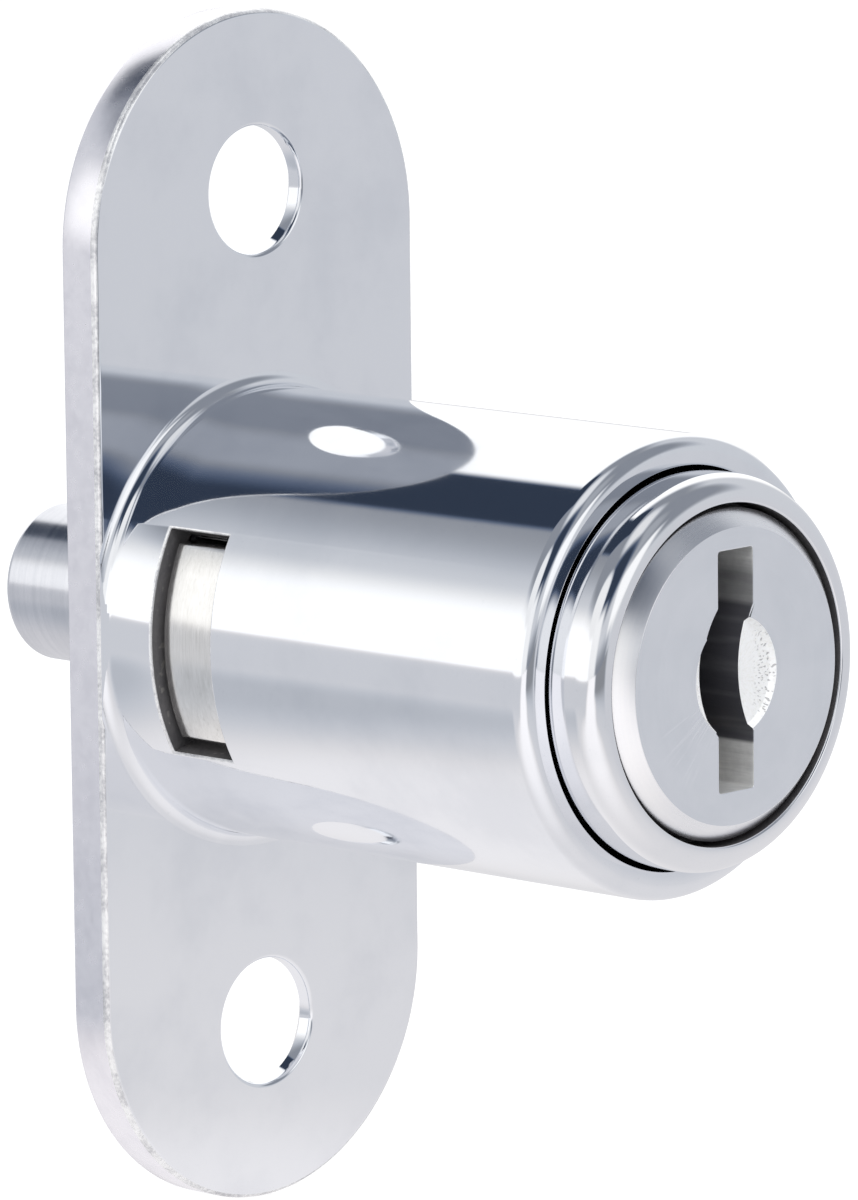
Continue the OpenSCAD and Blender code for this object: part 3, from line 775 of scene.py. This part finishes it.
# the scratches' lighter colour paints in a highlight streak, and they are also rougher and cut into
# the bump
scratches_and_sheen = rays * radius.ramp(5.8, 2.6) * lower_left
cloud = noise(here, 0.45, 3.0, 0.5)
grain = noise(here, 14.0, 2.0, 0.6)
tone = (cloud * 0.6 + grain * 0.2 + rings * 0.2 + scratches_and_sheen * 0.5).ramp(0.2, 0.8)
dress(PLUG_FACE, (tone, srgb(228, 231, 236), srgb(240, 242, 246)),
      0.15 + cloud * 0.03 + grain * 0.02 + scratches_and_sheen * 0.14,
      grain * 0.5 + rings * 0.3 + scratches_and_sheen * 1.2, 0.0008)

# %% The dimple: rough, near-white crumbs that the drill dragged round, and dark pits; its white is painted highlight
# not metal and near white, so it stays bright under any light: a painted highlight
PAINTED_DIMPLE_HIGHLIGHT, tree, here = new_finish("dimple_painted_highlight", metallic=0.0)
tree.nodes["Principled BSDF"].inputs["Specular IOR Level"].default_value = 1.0
across, up, radius = from_axis(here)
dragged = vector_of(radius * 2.2, sum_of("ARCTAN2", up, across) * 9.0)
crumbs = noise(dragged, 1.6, 4.0, 0.7)
grit = noise(here, 11.0, 2.0, 0.6)
pits = noise(dragged, 2.4, 1.0, 0.5).ramp(0.60, 0.66) * across.ramp(0.9, 1.9)
tone = (crumbs * 0.7 + grit * 0.3).ramp(0.34, 0.56)
bright = blend(tone, srgb(247, 246, 243), srgb(255, 255, 255))
dress(PAINTED_DIMPLE_HIGHLIGHT, (pits * 0.6, bright, srgb(130, 128, 132)), 0.36 + grit * 0.24,
      crumbs + grit * 0.5 - pits, 0.025)

# %% The keyway: fine lines along the broach, painted light at the two ends and painted shade in the bow
KEYWAY_WALL, tree, here = new_finish("broached_keyway", metallic=0.4)
up = part_of(here, "Z")
along = object_place(tree, scale=(0.25, 0.06, 1.0))
lines = noise(along, 7.0, 3.0, 0.7)
steps = noise(along, 2.4, 1.0, 0.5)
patches = noise(here, 2.0, 3.0, 0.6)
# pale towards the two ends and dark in the bow, by height: painted light and shade
upper = up.ramp(2.7, 3.0, 0.0, 0.30) + up.ramp(3.9, 4.9, 0.0, 0.40)
lower = up.ramp(-2.75, -2.95, 0.0, 0.72)
tone = (upper + lower) * (0.55 + lines * 0.5 + patches * 0.4) + (steps - 0.5) * 0.25
dress(KEYWAY_WALL, (tone, srgb(84, 84, 90), srgb(252, 252, 250)), 0.42 + lines * 0.16,
      lines * 0.7 + steps * 0.3, 0.02)

# %% The bevel, and the plug's list of finishes
PLUG_BEVEL = turned_finish("plug_edge", srgb(254, 254, 255), srgb(246, 247, 250),
                           0.25, 0.3, 0.0003, seed=2.0)
PLUG_PARTS = [PLUG_FACE, PAINTED_DIMPLE_HIGHLIGHT, PLUG_BEVEL, KEYWAY_WALL, SHADED_GAP_WALL]
print("the plug has", len(PLUG_PARTS), "finishes")

# %% Turn the plug
PLUG_FRONT = 26.7
PLUG_RADIUS = 6.0
HEAD_RADIUS = 6.76
HEAD_REAR = 24.6
BEVEL_WIDTH = 0.70
BEVEL_REAR = PLUG_FRONT - 0.66
BEVEL_ROUND = 0.06
DIMPLE_RADIUS = 2.45
DIMPLE_DEPTH = 0.2
TAIL_RADIUS = 3.2
TAIL_FRONT = 9.15
TAIL_REAR = 6.5
bm = bmesh.new()
draw_profile(bm, [
    (0, PLUG_FRONT - DIMPLE_DEPTH), (DIMPLE_RADIUS - DIMPLE_DEPTH, PLUG_FRONT - DIMPLE_DEPTH),
    (DIMPLE_RADIUS, PLUG_FRONT), (HEAD_RADIUS - BEVEL_WIDTH, PLUG_FRONT, 0.05),
    (HEAD_RADIUS, BEVEL_REAR, BEVEL_ROUND), (HEAD_RADIUS, HEAD_REAR), (PLUG_RADIUS, HEAD_REAR),
    (PLUG_RADIUS, TAIL_FRONT), (TAIL_RADIUS, TAIL_FRONT), (TAIL_RADIUS, TAIL_REAR), (0, TAIL_REAR),
], closed=False, segments=4)
spin_profile(bm, 240)
# the dimple gets the white of a painted highlight, and the plug's turned side the painted shade of
# its gap
for face in bm.faces:
    across, forward, up = middle_of(face)
    radius = hypot(across, up)
    if radius < DIMPLE_RADIUS and forward > HEAD_REAR:
        face.material_index = PLUG_PARTS.index(PAINTED_DIMPLE_HIGHLIGHT)
    elif forward < BEVEL_REAR - BEVEL_ROUND:
        face.material_index = PLUG_PARTS.index(SHADED_GAP_WALL)
    elif radius > HEAD_RADIUS - BEVEL_WIDTH - BEVEL_ROUND:
        face.material_index = PLUG_PARTS.index(PLUG_BEVEL)
plug = finish_piece(bm, "key_plug_body", None, PLUG_PARTS, crisp=28)

# %% Draw the keyway's outline
KEYWAY_HALF_WIDTH = 1.03
KEYWAY_HALF_HEIGHT = 4.9
KEYWAY_RISE = 0.25
KEYWAY_REAR = 10.0
CUTTER_LENGTH = 20.0
LEFT_BOW = 1.0
RIGHT_BOW = 0.7
BOW_HALF = 2.6


def bowed_side(bm, edge_x, bow):
    """One side of the keyway from top to bottom, with a bow to the left."""
    bow_radius = (BOW_HALF ** 2 + bow ** 2) / (2 * bow)
    centre = place(edge_x - bow + bow_radius, KEYWAY_REAR, 0)
    start = bm.verts.new(place(edge_x, KEYWAY_REAR, BOW_HALF))
    before = set(bm.edges)
    bmesh.ops.spin(bm, geom=[start], cent=centre, axis=(0, -1, 0),
                   angle=2 * asin(BOW_HALF / bow_radius), steps=28)
    arc_edges = [edge for edge in bm.edges if edge not in before]
    ends = [v for edge in arc_edges for v in edge.verts if len(v.link_edges) == 1]
    ends.sort(key=lambda vertex: vertex.co.z)
    top = bm.verts.new(place(edge_x, KEYWAY_REAR, KEYWAY_HALF_HEIGHT))
    bottom = bm.verts.new(place(edge_x, KEYWAY_REAR, -KEYWAY_HALF_HEIGHT))
    bm.edges.new((ends[-1], top))
    bm.edges.new((ends[0], bottom))
    return top, bottom


bm = bmesh.new()
left = bowed_side(bm, -KEYWAY_HALF_WIDTH, LEFT_BOW)
right = bowed_side(bm, KEYWAY_HALF_WIDTH, RIGHT_BOW)
for pair in zip(left, right):
    bm.edges.new(pair)
for vertex in left + right:
    round_corner(bm, vertex, 0.12, 3)
widths = [vertex.co.x / MM for vertex in bm.verts]
print("keyway outline from x", round(min(widths), 2), "to", round(max(widths), 2), "mm")

# %% Push the outline out to a cutter and cut the keyway
bmesh.ops.contextual_create(bm, geom=bm.edges[:])
made = bmesh.ops.extrude_face_region(bm, geom=bm.faces[:])["geom"]
bmesh.ops.translate(bm, verts=vertices_of(made), vec=place(0, CUTTER_LENGTH, 0))
for face in bm.faces:
    face.material_index = PLUG_PARTS.index(KEYWAY_WALL)
bmesh.ops.translate(bm, verts=bm.verts, vec=place(0, 0, KEYWAY_RISE))
cutter = finish_piece(bm, "keyway_cutter", None, PLUG_PARTS)
cutter.modifiers.clear()
plug.modifiers.clear()
cut = plug.modifiers.new("Cut", "BOOLEAN")
cut.operation = "DIFFERENCE"
cut.solver = "EXACT"
cut.material_mode = "INDEX"
cut.object = cutter
cut_plug = plug.evaluated_get(bpy.context.evaluated_depsgraph_get())
bm = bmesh.new()
bm.from_mesh(cut_plug.data)
bpy.data.objects.remove(plug)
bpy.data.objects.remove(cutter)
print("the plug now has", len(bm.faces), "faces")

# %% Round the keyway's edge on the face and shade the plug
face_finish = PLUG_PARTS.index(PLUG_FACE)
face_lines = []
for edge in bm.edges:
    on_face = [face for face in edge.link_faces if face.material_index == face_finish
               and abs(middle_of(face)[1] - PLUG_FRONT) < NEAR]
    if len(on_face) == 2 and abs(edge.verts[0].co.z + edge.verts[1].co.z) > 0.01 * MM:
        face_lines.append(edge)
bmesh.ops.dissolve_edges(bm, edges=face_lines)
print("joined the face across", len(face_lines), "lines that would cross the rounding")
mouth = []
for edge in bm.edges:
    kinds = sorted(face.material_index for face in edge.link_faces)
    level = all(abs(vertex.co.y / MM + PLUG_FRONT) < NEAR for vertex in edge.verts)
    if level and kinds == [face_finish, PLUG_PARTS.index(KEYWAY_WALL)]:
        mouth.append(edge)
soften(bm, mouth, 0.1, 2)
print("rounded", len(mouth), "edges round the keyway's mouth")
plug = finish_piece(bm, "key_plug", "key_plug", PLUG_PARTS, crisp=28)
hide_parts("plug")

# %% [markdown]
# ## The springs
#
# The main spring is conical, of flat wire, so that its turns nest when the barrel is pushed in.
# The small springs are round wire: a circle is spun into a helix with a rise at each step.

# %% A finish for spring wire, and the main spring
SPRING_STEEL = ground_finish("spring_wire", srgb(152, 155, 162), srgb(112, 115, 122),
                             (0.3, 1.0, 0.3), 0.12, 0.28, 0.002, seed=9.0)
SPRING_REAR = -0.48
SPRING_FRONT = 1.33
SPRING_TURNS = 3
SPRING_INNER = 7.1
SPRING_OUTER = 7.7
SPRING_TAPER = 3.1
WIRE_HEIGHT = 0.28
bm = bmesh.new()
first = bm.verts.new(place(0, SPRING_REAR, SPRING_INNER))
second = bm.verts.new(place(0, SPRING_REAR, SPRING_OUTER))
wire = bm.edges.new((first, second))
steps = 64 * SPRING_TURNS
rise = (SPRING_FRONT - SPRING_REAR) / steps
bmesh.ops.spin(bm, geom=[first, second, wire], axis=(0, 1, 0), dvec=place(0, rise, 0),
               angle=2 * pi * SPRING_TURNS, steps=steps)
for vertex in bm.verts:
    share = (-vertex.co.y / MM - SPRING_REAR) / (SPRING_FRONT - SPRING_REAR)
    radius = hypot(vertex.co.x, vertex.co.z)
    shrink = (radius - SPRING_TAPER * MM * share) / radius
    vertex.co.x *= shrink
    vertex.co.z *= shrink
main_spring = finish_piece(bm, "return_spring", None, [SPRING_STEEL])
main_spring.modifiers.clear()
thickness = main_spring.modifiers.new("Wire height", "SOLIDIFY")
thickness.thickness = WIRE_HEIGHT * MM
thickness.offset = 0.0
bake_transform(main_spring)
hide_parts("main_spring")


# %% The catch's spring
def wire_coil(bm, coil_radius, wire_radius, length, turns, to_place):
    """Adds a helix of round wire that climbs along +Z, and then puts it in place."""
    start = Matrix.Translation((coil_radius * MM, 0, 0)) @ UPRIGHT
    ring = bmesh.ops.create_circle(bm, cap_ends=True, segments=10, radius=wire_radius * MM,
                                   matrix=start)["verts"]
    geometry = set(ring)
    for vertex in ring:
        geometry.update(vertex.link_edges, vertex.link_faces)
    before = set(bm.verts)
    steps = 24 * turns
    bmesh.ops.spin(bm, geom=list(geometry), axis=(0, 0, 1), dvec=(0, 0, length * MM / steps),
                   angle=2 * pi * turns, steps=steps)
    mine = [vertex for vertex in bm.verts if vertex not in before or vertex in ring]
    bmesh.ops.transform(bm, matrix=to_place, verts=mine)


POCKET_FLOOR = 2.2
POCKET_END = 6.1
start = place(POCKET_FLOOR, CATCH_MIDDLE, 0)
bm = bmesh.new()
wire_coil(bm, coil_radius=0.95, wire_radius=0.15, length=POCKET_END - POCKET_FLOOR, turns=5,
          to_place=Matrix.Translation(start) @ Matrix.Rotation(pi / 2, 4, "Y"))
catch_spring = finish_piece(bm, "catch_return_spring", None, [SPRING_STEEL])
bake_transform(catch_spring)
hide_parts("catch_spring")

# %% The springs under the wafers
WAFERS = 6
FIRST_WAFER = 22.6
WAFER_PITCH = 2.2
bm = bmesh.new()
for k in range(WAFERS):
    under_ear = place(3.85, FIRST_WAFER - WAFER_PITCH * k, -2.05)
    wire_coil(bm, coil_radius=0.4, wire_radius=0.1, length=2.3, turns=3,
              to_place=Matrix.Translation(under_ear))
wafer_springs = finish_piece(bm, "wafer_lift_springs", "key_plug", [SPRING_STEEL])
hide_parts("wafer_springs")

# %% [markdown]
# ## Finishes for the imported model's own nodes
#
# The wafers, the guide pin, the end disc and its screws, the clip and the drive pin are plain
# enough to show as they are. They keep their meshes and get a finish in their material slots.

# %% Brass, zinc, and who wears what
BRASS = ground_finish("wafer_brass", srgb(214, 186, 128), srgb(168, 140, 88),
                      (1.0, 1.0, 0.15), 0.2, 0.26, 0.004, seed=12.0)
ZINC = ground_finish("cast_zinc", srgb(186, 188, 192), srgb(150, 152, 157),
                     (1.0, 1.0, 1.0), 0.35, 0.36, 0.006, seed=15.0)
WEARS = {
    "guide_pin": STEEL, "end_disc": ZINC, "disc_screws": STEEL, "drive_pin": STEEL,
    "plug_clip": SPRING_STEEL,
}
for number in range(1, WAFERS + 1):
    WEARS[f"wafer_{number}"] = BRASS
for name, finish in WEARS.items():
    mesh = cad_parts[name].data
    mesh.materials.clear()
    mesh.materials.append(finish)
    mesh.polygons.foreach_set("material_index", [0] * len(mesh.polygons))
print(len(WEARS), "nodes wear a finish of the scene")

# %% [markdown]
# ## Light
#
# What makes chrome look like chrome is the studio round it. The world here is a plain soft studio,
# written as a function of direction: grey walls, broad white panels on the left, in front and
# behind on the right, and a grey ceiling. Chrome needs something dark to mirror as well, so there
# are dark places high in front, a black panel high behind and a low dark one in front. The camera
# itself sees white.

# %% The studio as a function of direction
def heading(azimuth, elevation):
    """A direction; azimuth 0 is straight ahead of the key face and 90 is to the right."""
    flat = cos(radians(elevation))
    azimuth = radians(azimuth)
    return Vector((sin(azimuth) * flat, -cos(azimuth) * flat, sin(radians(elevation))))


world = bpy.data.worlds.new("studio")
bpy.context.scene.world = world
world.use_nodes = True
sky = world.node_tree
sky.nodes.clear()
direction = node(sky, "TexCoord")


def facing(axis):
    """How far the direction of a ray points along an axis, from -1 to 1."""
    sockets = {0: direction, 1: axis}
    return node(sky, "VectorMath", {"operation": "DOT_PRODUCT"}, sockets, output=1)


def patch(azimuth, elevation, inner, outer):
    """1 within the inner angle of a heading, 0 beyond the outer one."""
    return facing(heading(azimuth, elevation)).ramp(cos(radians(outer)), cos(radians(inner)))


def card(azimuth, elevation, half_width, half_height, soft):
    """1 on a flat rectangular panel that faces the lock, all sizes in degrees."""
    ahead = heading(azimuth, elevation)
    across = heading(azimuth + 90, 0)
    depth = facing(ahead)
    mask = depth.ramp(0.01, 0.03)
    depth = sum_of("MAXIMUM", depth, 0.001)
    for axis, half in ((across, half_width), (ahead.cross(across), half_height)):
        distance = sum_of("ABSOLUTE", facing(axis) / depth)
        mask = mask * distance.ramp(tan(radians(half + soft)), tan(radians(half - soft)))
    return mask


def paint(level, coats):
    """Moves a level to the target of each coat where its mask is 1, one coat after another."""
    for mask, target in coats:
        level = level + mask * (target - level)
    return level


WALLS = 0.68
level = paint(WALLS, [
    (patch(-110, 80, 37, 53), 0.30),  # the ceiling
    (patch(-20, 78, 8, 22), 0.85),  # a pale place in it
    (patch(32, 42, 20, 34), 0.29),  # dark, high in front
    (patch(8, 47, 6, 16), 0.42),  # its softer edge
    (card(-105, 5, 42, 22.5, 8), 1.2),  # white, broad on the left
    (card(8, 18, 15, 13, 4), 1.1),  # white in front
    (patch(138, 30, 24, 38), 1.2),  # white, behind on the right
    (patch(-37, 44, 14, 28), 0.05),  # nearly black, high on the left
    (patch(-75, 38, 14, 21), 0.95),  # pale above the broad panel
    (card(-50, 14, 14, 16, 5), 1.0),  # white between these two
    (card(-16, -2, 20, 8, 6), 0.28),  # dark, low in front
    (card(-177, 58, 10.6, 20, 1.6), 0.045),  # black, high behind
])
print("the studio has", len(sky.nodes), "nodes")

# %% Tint the studio and hang it round the lock
WHITE = (1.0, 1.0, 1.0, 1.0)
shade = blend(level.ramp(0.0, 0.35), (0.70, 1.00, 1.65, 1), (0.95, 1.00, 1.10, 1))
cool = blend(level.ramp(0.35, 1.0), shade, WHITE)
glow = node(sky, "VectorMath", {"operation": "SCALE"}, {0: cool, "Scale": level})
studio = node(sky, "Background", None, {"Color": glow, "Strength": 1.0})
backdrop = node(sky, "Background", None, {"Color": WHITE, "Strength": 1.0})
seen = node(sky, "LightPath", output="Is Camera Ray")
mixed = node(sky, "MixShader", None, {0: seen, 1: studio, 2: backdrop})
sky.links.new(mixed.socket, sky.nodes.new("ShaderNodeOutputWorld").inputs[0])

# %% [markdown]
# The floor is a plain pale sheet under the plate's lower end. For the camera it is white and keeps
# a soft shadow. In reflections it is brightest close to the lock and in front on the left, greyer
# behind on the left and dark far out straight ahead. It runs into the white wall on the left
# without an edge, as a sheet of paper does that is curved up at the back.

# %% The floor and what the mirrors see of it
FLOOR_GAP = 0.05
bm = bmesh.new()
bmesh.ops.create_grid(bm, x_segments=1, y_segments=1, size=3.0,
                      matrix=Matrix.Translation(place(0, 0, -PLATE_LENGTH / 2 - FLOOR_GAP)))
floor = put_in_scene("floor", to_mesh(bm, "floor"))
material, tree, _ = new_finish("pale_floor")
tree.nodes.clear()
here = object_place(tree)
sheet_x = part_of(here, "X")
sheet_y = part_of(here, "Y")


def within(x, y, inner, outer):
    """1 within the inner distance from a place on the floor, 0 beyond the outer one."""
    return (((sheet_x - x) ** 2.0 + (sheet_y - y) ** 2.0) ** 0.5).ramp(outer, inner)


def beyond(inner, outer):
    """0 within the inner distance from the lock, 1 beyond the outer one."""
    return 1.0 - within(0, 0, inner, outer)


def towards(azimuth, inner, outer):
    """1 on the floor within the inner angle of a compass direction, 0 beyond the outer one."""
    along = heading(azimuth, 0)
    distance = (sheet_x * sheet_x + sheet_y * sheet_y) ** 0.5
    closeness = (sheet_x * along.x + sheet_y * along.y) / distance
    return closeness.ramp(cos(radians(outer)), cos(radians(inner)))


sheet_level = paint(WALLS, [
    (within(4, -8, 25, 130), 0.78),  # round the lock
    (within(-6, 3, 8, 32), 0.92),  # close to it
    (within(-48, 40, 8, 45), 0.56),  # behind on the left
    (within(-42, -50, 15, 50), 1.05),  # in front on the left
    (beyond(300, 3000) * (sheet_y - sheet_x).ramp(-900, -150), 1.0),  # up to the left wall
    (towards(-44, 10, 22) * beyond(50, 90), 1.1),  # further out in front on the left
    (towards(-10, 16, 26) * beyond(120, 250), 0.30),  # far out straight ahead
])

# %% What the camera sees of the floor
paper = node(tree, "BsdfDiffuse", None, {"Color": (0.8, 0.8, 0.8, 1)})
white = node(tree, "Emission", None, {"Color": WHITE, "Strength": 0.80})
faint = node(tree, "BsdfDiffuse", None, {"Color": (0.4, 0.4, 0.4, 1)})
for_camera = node(tree, "AddShader", None, {0: white, 1: faint})
tint = blend(sheet_level.ramp(0.55, 0.85), (0.95, 0.985, 1.06, 1), (1.02, 1.0, 1.01, 1))
for_mirrors = node(tree, "Emission", None, {"Color": tint, "Strength": sheet_level})
glossy_ray = node(tree, "LightPath", output="Is Glossy Ray")
camera_ray = node(tree, "LightPath", output="Is Camera Ray")
low = node(tree, "MixShader", None, {0: glossy_ray, 1: paper, 2: for_mirrors})
top = node(tree, "MixShader", None, {0: camera_ray, 1: low, 2: for_camera})
tree.links.new(top.socket, tree.nodes.new("ShaderNodeOutputMaterial").inputs[0])
floor.data.materials.append(material)

# %% A large soft lamp above, for the shadow on the floor
lamp_data = bpy.data.lights.new("soft_box", "AREA")
lamp_data.shape = "DISK"
lamp_data.size = 0.5
lamp_data.energy = 3.0
lamp = put_in_scene("soft_box", lamp_data)
lamp.location = (-0.28, -0.30, 0.62)
lamp.rotation_euler = (-lamp.location).to_track_quat("-Z", "Y").to_euler()
lamp.visible_glossy = False

# %% [markdown]
# ## The camera
#
# The photograph was taken from the front left, a little above the lock, from about a third of a
# metre. The angles come from fitting the plate's outline, the holes and the housing's circles.

# %% The camera
CAMERA_AZIMUTH = -46.544
CAMERA_ELEVATION = 8.965
CAMERA_ROLL = -0.610
CAMERA_DISTANCE = 343.5
AIM = Vector((-1.389, -11.081, 2.491))
FOCAL_PIXELS = 8332
SHIFT_PIXELS = 19.5
IMAGE_HEIGHT = 1200
SENSOR_HEIGHT = 24
back = heading(CAMERA_AZIMUTH, CAMERA_ELEVATION)
level_right = heading(CAMERA_AZIMUTH + 90, 0)
level_up = back.cross(level_right)
roll = radians(CAMERA_ROLL)
right = cos(roll) * level_right + sin(roll) * level_up
up = -sin(roll) * level_right + cos(roll) * level_up
camera_data = bpy.data.cameras.new("camera")
camera_data.sensor_fit = "VERTICAL"
camera_data.sensor_height = SENSOR_HEIGHT
camera_data.lens = SENSOR_HEIGHT * FOCAL_PIXELS / IMAGE_HEIGHT
camera_data.shift_y = -SHIFT_PIXELS / IMAGE_HEIGHT
camera_data.clip_start = 0.01
camera = put_in_scene("camera", camera_data)
spot = (AIM + back * CAMERA_DISTANCE) * MM
camera.matrix_world = Matrix.Translation(spot) @ Matrix((right, up, back)).transposed().to_4x4()
bpy.context.scene.camera = camera
bpy.context.scene.view_settings.view_transform = "Standard"
print("camera at", [round(value / MM, 1) for value in spot], "mm")
